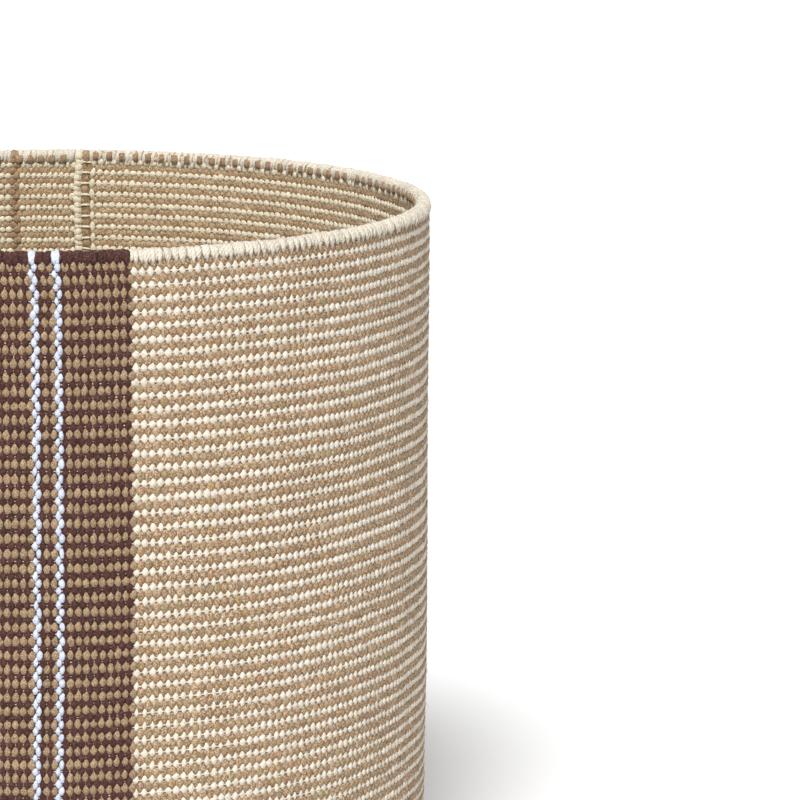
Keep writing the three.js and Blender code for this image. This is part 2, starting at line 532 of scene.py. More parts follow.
# Hand weaving wanders: columns drift sideways, rows rise and fall, the wall is never quite round, and
# each float is a little lumpy. The same for every piece, so that neighbours move together.
wander = {
    "belly": 0.9,
    "lean": 1.5,
    "leanFrom": 50,
    "leanTo": 360,
    "uprightFrom": 358,
    "uprightTo": 376,
    "drift": 3.4,
    "wave": 3.2,
    "waveEnds": (4, 50),
    "waveAtRim": 0.12,
    "wobble": 2.6,
    "flute": 2.4,
    "lump": 0.55,
    "slowMm": 130,
    "fluteMm": 42,
    "lumpMm": 2.6,
}

wanderTree, add, given = newTree("Wander", [("Geometry", "Geometry")])
middle = (0.5, 0.5, 0.5)
here = add("InputPosition")
high = add("SeparateXYZ", [here]).outputs[2]
slow = add("TexNoise", {"Vector": here, "Scale": 1 / (wander["slowMm"] * mm), "Detail": 1.0}).outputs[1]
slow = add("VectorMath", [slow, middle], "SUBTRACT")
slow = add("SeparateXYZ", [slow])
most = wander["lean"] / wallRadius
lean = add("MapRange", [high, wander["leanFrom"] * mm, wander["leanTo"] * mm, -most, most])
atRim = add("MapRange", [high, wander["uprightFrom"] * mm, wander["uprightTo"] * mm, 1.0, 0.0],
            interpolation_type="SMOOTHSTEP")
lean = add("Math", [lean, atRim], "MULTIPLY")
spin = add("Math", [slow, wander["drift"] / wallRadius, lean], "MULTIPLY_ADD")
moved = add("VectorRotate", {"Vector": here, "Angle": spin}, rotation_type="Z_AXIS")
swell = add("Math", [slow.outputs[1], wander["wobble"] / wallRadius, 1.0], "MULTIPLY_ADD")
belly = add("Math", [high, math.pi / rimTop], "MULTIPLY")
belly = add("Math", [belly], "SINE")
swell = add("Math", [belly, wander["belly"] / wallRadius, swell], "MULTIPLY_ADD")
flute = add("VectorMath", [here, (1.0, 1.0, 0.25)], "MULTIPLY")
flute = add("TexNoise", {"Vector": flute, "Scale": 1 / (wander["fluteMm"] * mm), "Detail": 0.0})
flute = add("Math", [flute, 0.5], "SUBTRACT")
swell = add("Math", [flute, wander["flute"] / wallRadius, swell], "MULTIPLY_ADD")
swell = add("CombineXYZ", [swell, swell, 1.0])
moved = add("VectorMath", [moved, swell], "MULTIPLY")
near, far = [end * mm for end in wander["waveEnds"]]
fromTop = add("MapRange", [high, rimTop - near, rimTop - far, wander["waveAtRim"], 1.0])
fromFoot = add("MapRange", [high, near, far, 0.0, 1.0])
fade = add("Math", [fromTop, fromFoot], "MULTIPLY")
sway = add("Math", [slow.outputs[2], wander["wave"] * mm], "MULTIPLY")
sway = add("Math", [sway, fade], "MULTIPLY")
sway = add("CombineXYZ", [0.0, 0.0, sway])
moved = add("VectorMath", [moved, sway], "ADD")
lump = add("TexNoise", {"Vector": here, "Scale": 1 / (wander["lumpMm"] * mm), "Detail": 0.0}).outputs[1]
lump = add("VectorMath", [lump, middle], "SUBTRACT")
moved = add("VectorMath", [lump, (wander["lump"] * mm,) * 3, moved], "MULTIPLY_ADD")
moved = add("VectorMath", [moved, (-9.0, -9.0, 0.00001)], "MAXIMUM")  # nothing goes through the floor
moved = add("SetPosition", {"Geometry": given["Geometry"], "Position": moved})
add("NodeGroupOutput", [moved])

# How high a row of floats lies, below the rim's top. Rows are a little closer where the weaver beat
# harder, climb a little from one side of the seam round to the other, and dip at the sides.
rows = {
    "outer": {"first": 10.7, "pitch": 6.88, "count": 53},
    "inner": {"first": 7.9, "pitch": 6.45, "count": 57},
    "beat": 1.9,
    "beatRows": 36,
    "beatStart": 10,
    "climb": -0.9,
    "dip": 1.0,
}

rowSockets = [(label, "Float") for label in ("Row", "Angle", "First", "Pitch")]
rowTree, add, given = newTree("Row height", rowSockets, ("Height", "Float"))
beatTurn = 2 * math.pi / rows["beatRows"]
beat = add("Math", [given["Row"], rows["beatStart"]], "SUBTRACT")
beat = add("Math", [beat, beatTurn], "MULTIPLY")
beat = add("Math", [beat], "COSINE")
beat = add("Math", [beat, math.cos(rows["beatStart"] * beatTurn)], "SUBTRACT")
depth = add("Math", [given["Row"], given["Pitch"], given["First"]], "MULTIPLY_ADD")
depth = add("Math", [beat, -rows["beat"] * mm, depth], "MULTIPLY_ADD")
depth = add("Math", [given["Angle"], rows["climb"] * mm / math.pi, depth], "MULTIPLY_ADD")
side = add("Math", [given["Angle"]], "SINE")
side = add("Math", [side, side], "MULTIPLY")
depth = add("Math", [side, rows["dip"] * mm, depth], "MULTIPLY_ADD")
add("NodeGroupOutput", [add("Math", [depth, -1.0], "MULTIPLY")])

chartSockets = [
    ("Chart corner", "Vector", (0.0, 0.0, 0.0)),
    ("Chart size", "Vector", (1.0, 1.0, 1.0)),
    ("Material", "Material"),
]
chartFill = (0.9, 0.9, 0.0)  # the share of its cell on the chart that a yarn takes up
apart = (7.3, 11.7, 1.0)  # how far neighbours lie apart in the pattern, in millimetres
anyWay = {0: (-1, -1, -1), 1: (1, 1, 1)}


# The end that every tree shares: yarn coordinates in millimetres, a place on the baked chart,
# wandering, smooth faces and the material. cells is how many yarns the chart holds each way, and size
# is a yarn's girth and length in millimetres.
def finishTree(add, given, geometry, cells, size):
    place = add("InputNamedAttribute", ["yarnPlace"], data_type="FLOAT_VECTOR")
    cell = add("InputNamedAttribute", ["cell"], data_type="FLOAT_VECTOR")
    shift = add("VectorMath", [cell, apart], "MULTIPLY")
    yarn = add("VectorMath", [place, size, shift], "MULTIPLY_ADD")
    geometry = add("StoreNamedAttribute", {"Geometry": geometry, "Name": "yarn", "Value": yarn},
                   data_type="FLOAT_VECTOR", domain="CORNER")
    chart = add("VectorMath", [place, chartFill, cell], "MULTIPLY_ADD")
    chart = add("VectorMath", [chart, (0.5, 0.5, 0.0)], "ADD")
    chart = add("VectorMath", [chart, cells], "DIVIDE")
    chart = add("VectorMath", [chart, given["Chart size"], given["Chart corner"]], "MULTIPLY_ADD")
    geometry = add("StoreNamedAttribute", {"Geometry": geometry, "Name": "OFBake", "Value": chart},
                   data_type="FLOAT2", domain="CORNER")
    for helper in ("yarnPlace", "cell", "pull", "tip", "share", "edge"):
        geometry = add("RemoveAttribute", {"Geometry": geometry, "Name": helper})
    geometry = add("Group", {"Geometry": geometry}, node_tree=wanderTree)
    geometry = add("SetShadeSmooth", {"Geometry": geometry})
    geometry = add("SetMaterial", {"Geometry": geometry, "Material": given["Material"]})
    add("NodeGroupOutput", [geometry])


# Gives each copy of a yarn its cell on the chart, and its tone if it has one, and makes the copies real
def realYarns(add, copies, cell, tone=None):
    if tone is not None:
        copies = add("StoreNamedAttribute", {"Geometry": copies, "Name": "tone", "Value": tone},
                     domain="INSTANCE")
    copies = add("StoreNamedAttribute", {"Geometry": copies, "Name": "cell", "Value": cell},
                 data_type="FLOAT_VECTOR", domain="INSTANCE")
    return add("RealizeInstances", {"Geometry": copies})


# The column and the row of each float in a grid of so many pairs across
def gridOf(add, given):
    index = add("InputIndex")
    column = add("Math", [index, given["Pairs"]], "FLOORED_MODULO")
    row = add("Math", [index, given["Pairs"]], "DIVIDE")
    return column, add("Math", [row], "FLOOR")


# Two random numbers for each yarn: one picks its colour lot, the other how light it is
def toneAndLevel(add, given):
    seed = add("Math", [given["Seed"], 2.0], "ADD")
    tone = add("RandomValue", {"Seed": seed}).outputs[1]
    seed = add("Math", [seed, 3.0], "ADD")
    return tone, add("RandomValue", {"Seed": seed}).outputs[1]


# Makes a yarn of so many sides along lines whose points know their "share" of its length
def layYarn(add, lines, sides, thickness):
    curves = add("MeshToCurve", {"Mesh": lines})
    section = add("CurvePrimitiveCircle", {"Resolution": sides, "Radius": thickness})
    edge = add("Math", [add("InputIndex"), round(1 / sides, 2)], "MULTIPLY")
    section = add("StoreNamedAttribute", {"Geometry": section, "Name": "edge", "Value": edge})
    tube = add("CurveToMesh", {"Curve": curves, "Profile Curve": section, "Fill Caps": True})
    share = add("InputNamedAttribute", ["share"])
    edge = add("InputNamedAttribute", ["edge"])
    place = add("CombineXYZ", [edge, share, 0.0])
    return add("StoreNamedAttribute", {"Geometry": tube, "Name": "yarnPlace", "Value": place},
               data_type="FLOAT_VECTOR")


# Floats of one yarn on the wall: so many pairs across and rows down, each a copy of one float
looseRow = 0.035  # how far a float slips along its yarn, in rows
unevenMm = 34  # how far apart the places lie where floats are wider
floatTree, add, given = newTree("Yarn floats", [
    ("Yarn", "Object"),
    ("First angle", "Float", 0.0),
    ("Pair angle", "Float", 0.02),
    ("Pairs", "Int", 1),
    ("Rows", "Int", 1),
    ("Across", "Float", 0.25),
    ("First row", "Float", 0.0),
    ("First depth", "Float", 0.01),
    ("Row pitch", "Float", 0.007),
    ("Face radius", "Float", 0.2),
    ("Facing", "Float", 0.0),
    ("Size", "Vector", (0.003, 0.001, 0.004)),
    ("Lie back", "Float", 0.0),
    ("Tilt", "Float", 0.0),
    ("Tilt spread", "Float", 0.1),
    ("Size spread", "Float", 0.1),
    ("Uneven", "Float", 0.0),
    ("Place spread", "Float", 0.08),
    ("Seed", "Int", 0),
] + chartSockets)
column, row = gridOf(add, given)
chance = add("RandomValue", anyWay | {"Seed": given["Seed"]}, data_type="FLOAT_VECTOR")
chance = add("SeparateXYZ", [chance])
across = add("Math", [column, given["Across"]], "ADD")
across = add("Math", [chance, given["Place spread"], across], "MULTIPLY_ADD")
angle = add("Math", [across, given["Pair angle"], given["First angle"]], "MULTIPLY_ADD")
rowNumber = add("Math", [row, given["First row"]], "ADD")
rowNumber = add("Math", [chance.outputs[2], looseRow, rowNumber], "MULTIPLY_ADD")
height = {"Row": rowNumber, "Angle": angle, "First": given["First depth"], "Pitch": given["Row pitch"]}
height = add("Group", height, node_tree=rowTree)
height = add("Math", [height, rimTop], "ADD")
radius = add("Math", [given["Face radius"], -1.0], "MULTIPLY")
spot = add("CombineXYZ", [0.0, radius, height])
spot = add("VectorRotate", {"Vector": spot, "Angle": angle}, rotation_type="Z_AXIS")
count = add("Math", [given["Pairs"], given["Rows"]], "MULTIPLY")
points = add("Points", {"Count": count, "Position": spot})
tilt = add("Math", [chance.outputs[1], given["Tilt spread"], given["Tilt"]], "MULTIPLY_ADD")
heading = add("Math", [angle, given["Facing"]], "ADD")
heading = add("CombineXYZ", [given["Lie back"], tilt, heading])
heading = add("EulerToRotation", [heading])
seed = add("Math", [given["Seed"], 1.0], "ADD")
scale = add("RandomValue", anyWay | {"Seed": seed}, data_type="FLOAT_VECTOR")
scale = add("VectorMath", {"Vector": scale, "Scale": given["Size spread"]}, "SCALE")
scale = add("VectorMath", [scale, (1, 1, 1)], "ADD")
scale = add("VectorMath", [scale, given["Size"]], "MULTIPLY")
uneven = add("TexNoise", {"Vector": spot, "Scale": 1 / (unevenMm * mm), "Detail": 1.0})
uneven = add("Math", [uneven, 0.5], "SUBTRACT")
uneven = add("Math", [uneven, given["Uneven"], 1.0], "MULTIPLY_ADD")
uneven = add("CombineXYZ", [uneven, 1.0, 1.0])
scale = add("VectorMath", [scale, uneven], "MULTIPLY")
yarn = add("ObjectInfo", [given["Yarn"]]).outputs["Geometry"]
copies = add("InstanceOnPoints", {"Points": points, "Instance": yarn, "Rotation": heading, "Scale": scale})
tone, level = toneAndLevel(add, given)
geometry = realYarns(add, copies, add("CombineXYZ", [column, row, level]), tone)
size = add("SeparateXYZ", [given["Size"]])
size = add("CombineXYZ", [size, size.outputs[2], 0.0])
size = add("VectorMath", {"Vector": size, "Scale": 1000.0}, "SCALE")
cells = add("CombineXYZ", [given["Pairs"], given["Rows"], 1.0])
finishTree(add, given, geometry, cells, size)

# Yarns turned over the rim cord or under the foot cord. Their ends are gathered: in twos on the
# outer face, where a pair goes into the cloth together, and in fours on the inner face.
turnTree, add, given = newTree("Turned yarns", [
    ("Yarn", "Object"),
    ("First angle", "Float", 0.0),
    ("Yarn angle", "Float", 0.01),
    ("Yarns", "Int", 1),
    ("Outer gather", "Float", 0.4),
    ("Inner gather", "Float", 0.4),
    ("Tip side", "Float", -1.0),
    ("Slant", "Float", 0.0),
    ("Seed", "Int", 0),
] + chartSockets)
index = add("InputIndex")
points = add("Points", {"Count": given["Yarns"]})
chance = add("RandomValue", anyWay | {"Seed": given["Seed"]}, data_type="FLOAT_VECTOR")
chance = add("SeparateXYZ", [chance])
angle = add("Math", [index, 0.5], "ADD")
angle = add("Math", [chance, turn["loosePlace"], angle], "MULTIPLY_ADD")
angle = add("Math", [angle, given["Yarn angle"], given["First angle"]], "MULTIPLY_ADD")
heading = add("CombineXYZ", [0.0, 0.0, angle])
heading = add("EulerToRotation", [heading])
seed = add("Math", [given["Seed"], 5.0], "ADD")
rough = add("RandomValue", anyWay | {"Seed": seed}, data_type="FLOAT_VECTOR")
size = add("VectorMath", [rough, turn["looseSize"], (1, 1, 1)], "MULTIPLY_ADD")
yarn = add("ObjectInfo", [given["Yarn"]]).outputs["Geometry"]
copies = add("InstanceOnPoints", {"Points": points, "Instance": yarn, "Rotation": heading, "Scale": size})
inPair = add("Math", [index, 2.0], "FLOORED_MODULO")
outer = add("Math", [0.5, inPair], "SUBTRACT")
outer = add("Math", [outer, given["Outer gather"]], "MULTIPLY")
outer = add("Math", [chance.outputs[2], turn["looseGather"], outer], "MULTIPLY_ADD")
inner = add("Math", [index, 4.0], "FLOORED_MODULO")
inner = add("Math", [1.5, inner], "SUBTRACT")
inner = add("Math", [inner, given["Inner gather"]], "MULTIPLY")
slant = add("Math", [chance.outputs[1], turn["looseSlant"], given["Slant"]], "MULTIPLY_ADD")
pull = add("CombineXYZ", [outer, inner, slant])
pull = add("VectorMath", {"Vector": pull, "Scale": given["Yarn angle"]}, "SCALE")
copies = add("StoreNamedAttribute", {"Geometry": copies, "Name": "pull", "Value": pull},
             data_type="FLOAT_VECTOR", domain="INSTANCE")
tip = add("Math", [inPair, turn["longerTip"] * mm], "MULTIPLY")
tip = add("Math", [rough, turn["looseTip"] * mm, tip], "MULTIPLY_ADD")
tip = add("Math", [tip, given["Tip side"]], "MULTIPLY")
copies = add("StoreNamedAttribute", {"Geometry": copies, "Name": "tip", "Value": tip}, domain="INSTANCE")
tone, level = toneAndLevel(add, given)
geometry = realYarns(add, copies, add("CombineXYZ", [index, 0.0, level]), tone)
place = add("InputNamedAttribute", ["yarnPlace"], data_type="FLOAT_VECTOR")
along = add("SeparateXYZ", [place]).outputs[1]
pull = add("InputNamedAttribute", ["pull"], data_type="FLOAT_VECTOR")
pull = add("SeparateXYZ", [pull])
atOuter = add("MapRange", [along, *turn["outerEnd"], 1.0, 0.7], interpolation_type="SMOOTHSTEP")
atInner = add("MapRange", [along, *turn["innerEnd"], 0.0, 1.0], interpolation_type="SMOOTHSTEP")
swing = add("Math", [along, -0.5], "ADD")
swing = add("Math", [swing, pull.outputs[2]], "MULTIPLY")
swing = add("Math", [atOuter, pull, swing], "MULTIPLY_ADD")
swing = add("Math", [atInner, pull.outputs[1], swing], "MULTIPLY_ADD")
moved = add("VectorRotate", {"Vector": add("InputPosition"), "Angle": swing}, rotation_type="Z_AXIS")
atTip = add("MapRange", [along, 0.0, turn["tipEnd"], 1.0, 0.0])
tip = add("Math", [add("InputNamedAttribute", ["tip"]), atTip], "MULTIPLY")
tip = add("CombineXYZ", [0.0, 0.0, tip])
moved = add("VectorMath", [moved, tip], "ADD")
geometry = add("SetPosition", {"Geometry": geometry, "Position": moved})
cells = add("CombineXYZ", [given["Yarns"], 1.0, 1.0])
finishTree(add, given, geometry, cells, turn["yarnSize"])

# The weft: one thin yarn round the wall in every row, seen where it crosses between two floats
weftTree, add, given = newTree("Weft rows", [
    ("First angle", "Float", 0.0),
    ("Last angle", "Float", 0.1),
    ("Steps", "Int", 10),
    ("Rows", "Int", 1),
    ("First depth", "Float", 0.01),
    ("Row pitch", "Float", 0.007),
    ("Radius", "Float", 0.2),
    ("Thickness", "Float", 0.0003),
] + chartSockets)
index = add("InputIndex")
steps = add("Math", [given["Steps"], 1.0], "ADD")
share = add("Math", [index, given["Steps"]], "DIVIDE")
line = add("MeshLine", {"Count": steps})
line = add("StoreNamedAttribute", {"Geometry": line, "Name": "share", "Value": share})
angle = add("MapRange", [share, 0.0, 1.0, given["First angle"], given["Last angle"]])
radius = add("Math", [given["Radius"], -1.0], "MULTIPLY")
climb = add("Group", {"Angle": angle}, node_tree=rowTree)
spot = add("CombineXYZ", [0.0, radius, climb])
spot = add("VectorRotate", {"Vector": spot, "Angle": angle}, rotation_type="Z_AXIS")
line = add("SetPosition", {"Geometry": line, "Position": spot})
tube = layYarn(add, line, 4, given["Thickness"])
height = {"Row": index, "First": given["First depth"], "Pitch": given["Row pitch"]}
height = add("Group", height, node_tree=rowTree)
height = add("Math", [height, rimTop], "ADD")
spot = add("CombineXYZ", [0.0, 0.0, height])
points = add("Points", {"Count": given["Rows"], "Position": spot})
copies = add("InstanceOnPoints", {"Points": points, "Instance": tube})
geometry = realYarns(add, copies, add("CombineXYZ", [index, 0.0, 0.5]))
cells = add("CombineXYZ", [given["Rows"], 1.0, 1.0])
finishTree(add, given, geometry, cells, (2.0, 60.0, 0.0))

# Stray fibres: short thin bent hairs that stand off the cloth, within a sector of a ring. perPair and
# onRim are how many a pair of yarns has, and each weave has its finish.
strays = {
    "points": 5,
    "perPair": 1.6,
    "onRim": 2,
    "thickness": 0.1,
    "curl": 4.6,
    "bow": (1.0, 0.2, 0.3),
    "turned": (3.1, 3.1, 0.45),
    "lengths": (0.5, 1.4),
    "natural": "cream",
    "brown": "gold",
    "lavender": "lavender",
    "tanLine": "tan",
}
fibreTree, add, given = newTree("Stray fibres", [
    ("Count", "Int", 10),
    ("First", "Vector", (0.0, 0.19, 0.0)),
    ("Last", "Vector", (0.1, 0.2, 0.38)),
    ("Length", "Float", 0.006),
    ("Thickness", "Float", 0.0001),
    ("Seed", "Int", 0),
] + chartSockets)
index = add("InputIndex")
share = add("Math", [index, 1 / (strays["points"] - 1)], "MULTIPLY")
bend = add("Math", [share, strays["curl"]], "MULTIPLY")
bend = add("Math", [bend], "SINE")
curl = add("Math", [bend, share], "MULTIPLY")
spot = add("CombineXYZ", [share, bend, curl])
spot = add("VectorMath", [spot, strays["bow"], (-0.5, 0.0, 0.0)], "MULTIPLY_ADD")
line = add("MeshLine", {"Count": strays["points"]})
line = add("StoreNamedAttribute", {"Geometry": line, "Name": "share", "Value": share})
line = add("SetPosition", {"Geometry": line, "Position": spot})
where = {0: given["First"], 1: given["Last"], "Seed": given["Seed"]}
where = add("SeparateXYZ", [add("RandomValue", where, data_type="FLOAT_VECTOR")])
radius = add("Math", [where.outputs[1], -1.0], "MULTIPLY")
spot = add("CombineXYZ", [0.0, radius, where.outputs[2]])
spot = add("VectorRotate", {"Vector": spot, "Angle": where}, rotation_type="Z_AXIS")
points = add("Points", {"Count": given["Count"], "Position": spot})
seed = add("Math", [given["Seed"], 1.0], "ADD")
heading = {0: [-t for t in strays["turned"]], 1: strays["turned"], "Seed": seed}
heading = add("RandomValue", heading, data_type="FLOAT_VECTOR")
outwards = add("CombineXYZ", [0.0, 0.0, where])
heading = add("VectorMath", [heading, outwards], "ADD")
heading = add("EulerToRotation", [heading])
seed = add("Math", [seed, 1.0], "ADD")
size = add("RandomValue", {2: strays["lengths"][0], 3: strays["lengths"][1], "Seed": seed}).outputs[1]
size = add("Math", [size, given["Length"]], "MULTIPLY")
copies = add("InstanceOnPoints", {"Points": points, "Instance": line, "Rotation": heading, "Scale": size})
geometry = realYarns(add, copies, add("CombineXYZ", [index, 0.0, 0.5]))
geometry = layYarn(add, geometry, 3, given["Thickness"])
cells = add("CombineXYZ", [given["Count"], 1.0, 1.0])
finishTree(add, given, geometry, cells, (0.6, 6.0, 0.0))

# A plain backing or cord, given the same wandering, chart and material as the yarns on it
dressTree, add, given = newTree("Dress", [
    ("Mesh", "Geometry"),
    ("Length", "Float", 60.0),
    ("Girth", "Float", 10.0),
] + chartSockets)
cell = add("CombineXYZ", [0.0, 0.0, 0.5])
geometry = add("StoreNamedAttribute", {"Geometry": given["Mesh"], "Name": "cell", "Value": cell},
               data_type="FLOAT_VECTOR")
size = add("CombineXYZ", [given["Girth"], given["Length"], 0.0])
finishTree(add, given, geometry, (1.0, 1.0, 1.0), size)

# Straight rows of floats on a round disc
discTree, add, given = newTree("Disc floats", [
    ("Yarn", "Object"),
    ("Disc radius", "Float", 0.19),
    ("Height", "Float", 0.0),
    ("Pairs", "Int", 1),
    ("Rows", "Int", 1),
    ("Pair pitch", "Float", 0.004),
    ("Row pitch", "Float", 0.0066),
    ("Across", "Float", 0.25),
    ("First row", "Float", 0.0),
    ("Facing", "Float", 0.0),
    ("Size", "Vector", (0.003, 0.001, 0.004)),
    ("Place spread", "Float", 0.0003),
    ("Tilt spread", "Float", 0.1),
    ("Seed", "Int", 0),
] + chartSockets)
column, row = gridOf(add, given)
chance = add("RandomValue", anyWay | {"Seed": given["Seed"]}, data_type="FLOAT_VECTOR")
spread = add("CombineXYZ", [given["Place spread"], given["Place spread"], 0.0])
spread = add("VectorMath", [chance, spread], "MULTIPLY")
x = add("Math", [column, given["Across"]], "ADD")
x = add("Math", [given["Pairs"], -0.5, x], "MULTIPLY_ADD")
x = add("Math", [x, given["Pair pitch"]], "MULTIPLY")
y = add("Math", [row, given["First row"]], "ADD")
y = add("Math", [given["Rows"], -0.5, y], "MULTIPLY_ADD")
y = add("Math", [y, given["Row pitch"]], "MULTIPLY")
spot = add("CombineXYZ", [x, y, given["Height"]])
spot = add("VectorMath", [spot, spread], "ADD")
count = add("Math", [given["Pairs"], given["Rows"]], "MULTIPLY")
points = add("Points", {"Count": count, "Position": spot})
fromAxis = add("CombineXYZ", [x, y, 0.0])
fromAxis = add("VectorMath", [fromAxis], "LENGTH").outputs[1]
inside = add("Math", [fromAxis, given["Disc radius"]], "LESS_THAN")
tilt = add("SeparateXYZ", [chance]).outputs[2]
tilt = add("Math", [tilt, given["Tilt spread"]], "MULTIPLY")
heading = add("CombineXYZ", [given["Facing"], 0.0, tilt])
heading = add("EulerToRotation", [heading])
copies = add("InstanceOnPoints", {
    "Points": points,
    "Selection": inside,
    "Instance": add("ObjectInfo", [given["Yarn"]]).outputs["Geometry"],
    "Rotation": heading,
    "Scale": given["Size"],
})
seed = add("Math", [given["Seed"], 2.0], "ADD")
tone = add("RandomValue", {"Seed": seed}).outputs[1]
spot = add("SeparateXYZ", [add("InputPosition")])
column = add("Math", [spot, given["Pair pitch"]], "DIVIDE")
column = add("Math", [given["Pairs"], 0.5, column], "MULTIPLY_ADD")
row = add("Math", [spot.outputs[1], given["Row pitch"]], "DIVIDE")
row = add("Math", [given["Rows"], 0.5, row], "MULTIPLY_ADD")
geometry = realYarns(add, copies, add("CombineXYZ", [column, row, tone]), tone)
cells = add("CombineXYZ", [given["Pairs"], given["Rows"], 1.0])
finishTree(add, given, geometry, cells, (4.0, 5.0, 0.0))
print("node trees built")


# Runs a tree on an object of its own and keeps the result as a plain mesh
def grow(name, tree, values, mesh=None):
    host = helperObject(name, mesh or bpy.data.meshes.new(name))
    modifier = host.modifiers.new("Yarn", "NODES")
    modifier.node_group = tree
    for item in tree.interface.items_tree:
        if item.in_out == "INPUT" and item.name in values:
            modifier[item.identifier] = values[item.name]
    depsgraph = bpy.context.evaluated_depsgraph_get()
    grown = host.evaluated_get(depsgraph)
    result = bpy.data.meshes.new_from_object(grown, preserve_all_data_layers=True, depsgraph=depsgraph)
    host.modifiers.remove(modifier)
    host.data = result
    return host


# The finish of what is grown, and where it lies on its piece's baked chart
def chartOf(finish, left=0.0, low=0.0, wide=1.0, high=1.0):
    return {
        "Chart corner": (left, low, 0.0),
        "Chart size": (wide, high, 1.0),
        "Material": finishes[finish],
    }


def sizeOf(size):
    return {"Size": tuple(s * mm for s in size)}


# Joins the grown parts of one piece, names it, hangs it on the root body and hides the CAD nodes that it
# stands for
def makePiece(name, parts, nodes):
    piece = parts[0]
    if len(parts) > 1:
        with bpy.context.temp_override(active_object=piece, selected_editable_objects=parts):
            bpy.ops.object.join()
    piece.name = name
    piece.data.name = name
    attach(piece, "root")
    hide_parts(*nodes)
    return piece


# The walls. A pair is two neighbouring warp yarns that take turns on the face. Width, rise and
# length of a float; "across" is where it lies in its pair.
cloth = {
    "outerFace": 199.0,
    "innerFace": 194.4,
    "outerBacking": (197.6, 199.5),
    "innerBacking": (193.9, 196.6),
    "outerFluff": (200.0, 200.9),
    "innerFluff": (193.4, 194.4),
    "fluffHeights": (8, 374),
    "top": 374.6,
    "bottom": 5.6,
    "girth": 760.0,
    "pairPitch": 4.0,
    "stripePitch": 3.6,
    "backingLevels": 20,
    "tiltSpread": 9,
    "placeSpread": 0.055,
    "weftSize": 0.34,
    "innerWeftProud": 0.1,
}
weaves = {
    "natural": {
        "uneven": 1.0,
        "first": ("cream", (4.25, 1.3, 5.7)),
        "second": ("tan", (4.65, 1.2, 6.2)),
        # On the inner face the cream has painted warm light and the tan has painted light
        "innerFirst": ("creamPaintedWarmLight", (4.2, 1.15, 5.5)),
        "innerSecond": ("tanPaintedLight", (5.0, 0.85, 6.2)),
        "shapes": ("pointed", "round"),
        "ground": "ground",
        "weftProud": 0.42,
        "spread": 0.15,
    },
    "brown": {
        "first": ("brown", (3.9, 1.6, 6.2)),
        "second": ("gold", (4.1, 1.55, 6.2)),
        "innerFirst": ("brown", (3.9, 1.55, 5.3)),
        "innerSecond": ("gold", (3.7, 1.5, 5.6)),
        "shapes": ("round", "round"),
        "ground": "darkGround",
        "weftProud": -0.14,
        "spread": 0.12,
    },
    "lavender": {
        "across": (0.29, 0.71),
        "first": ("lavender", (3.3, 2.1, 5.6)),
        "second": ("lavender", (3.3, 2.0, 5.6)),
        "innerFirst": ("lavender", (3.0, 1.9, 5.7)),
        "innerSecond": ("lavender", (3.0, 1.8, 5.7)),
        "shapes": ("pointed", "round"),
        "ground": "darkGround",
        "weftProud": 0.07,
        "spread": 0.16,
    },
    "tanLine": {
        "first": ("darkTanAndWindowShade", (4.3, 1.3, 5.6)),
        "second": ("darkTanAndWindowShade", (4.7, 1.15, 6.2)),
        "innerFirst": ("darkTanAndWindowShade", (4.5, 1.2, 6.0)),
        "innerSecond": ("darkTanAndWindowShade", (4.5, 1.0, 5.8)),
        "shapes": ("pointed", "round"),
        "ground": "ground",
        "weftProud": 0.28,
        "spread": 0.14,
    },
}

# The sectors round the wall in degrees: node, weave, first and last angle, pairs, and the piece
seam = {"centre": 172.8, "halfWidth": 1.7}
line = math.degrees(cloth["stripePitch"] / wallRadius)
stripeEdge = 11.76
sectors = [
    ("brown_left", "brown", -stripeEdge, -2 * line, 9, ""),
    ("lavender_left", "lavender", -2 * line, -line, 1, ""),
    ("brown_middle", "brown", -line, line, 2, ""),
    ("lavender_right", "lavender", line, 2 * line, 1, ""),
    ("brown_right", "brown", 2 * line, stripeEdge, 9, ""),
    ("natural_right", "natural", stripeEdge, 65.2, 47, "_front"),
    ("natural_right", "natural", 65.2, 118.7, 47, "_side"),
    ("natural_right", "natural", 118.7, 171.1, 46, "_back"),
    ("natural_left", "natural", -185.5, -176.3, 10, "_back"),
    ("natural_left", "tanLine", -176.3, -174.9, 1, "_back"),
    ("natural_left", "natural", -174.9, -120.8, 47, "_back"),
    ("natural_left", "natural", -120.8, -66.6, 47, "_side"),
    ("natural_left", "natural", -66.6, -stripeEdge, 48, "_front"),
]


# The share of its piece's chart that each sector takes, from left to right
def shareChart(pieces, counts):
    totals = {piece: sum(c for p, c in zip(pieces, counts) if p == piece) for piece in pieces}
    used = dict.fromkeys(pieces, 0)
    shares = []
    for piece, count in zip(pieces, counts):
        left = used[piece] / totals[piece]
        used[piece] += count
        shares.append((left, used[piece] / totals[piece]))
    return shares


def bandMesh(name, first, last, radii, steps, levels):
    heights = [cloth["bottom"] + (cloth["top"] - cloth["bottom"]) * j / levels for j in range(levels + 1)]
    outline = [(radii[1], z) for z in heights] + [(radii[0], z) for z in heights[::-1]]
    angles = [math.radians(first + (last - first) * k / steps) for k in range(steps + 1)]
    rings = [[onRing(radius, angle, z) for radius, z in outline] for angle in angles]
    return ringMesh(name, rings, evenly(len(outline)), evenly(steps))


def dress(node, mesh, length, girth, chart):
    return grow(node, dressTree, {"Length": length, "Girth": girth} | chart, mesh)


def growFibres(node, first, last, radii, heights, count, seed, chart, length=5.5):
    return grow(node, fibreTree, {
        "Count": max(count, 1),
        "First": (math.radians(first), radii[0] * mm, heights[0] * mm),
        "Last": (math.radians(last), radii[1] * mm, heights[1] * mm),
        "Length": length * mm,
        "Thickness": strays["thickness"] * mm,
        "Seed": 5000 + seed,
    } | chart)


# Where the rows of floats lie on one face of the wall
def faceOf(side):
    return {
        "First depth": rows[side]["first"] * mm,
        "Row pitch": rows[side]["pitch"] * mm,
        "Face radius": cloth[side + "Face"] * mm,
        "Facing": math.pi if side == "inner" else 0.0,
    }


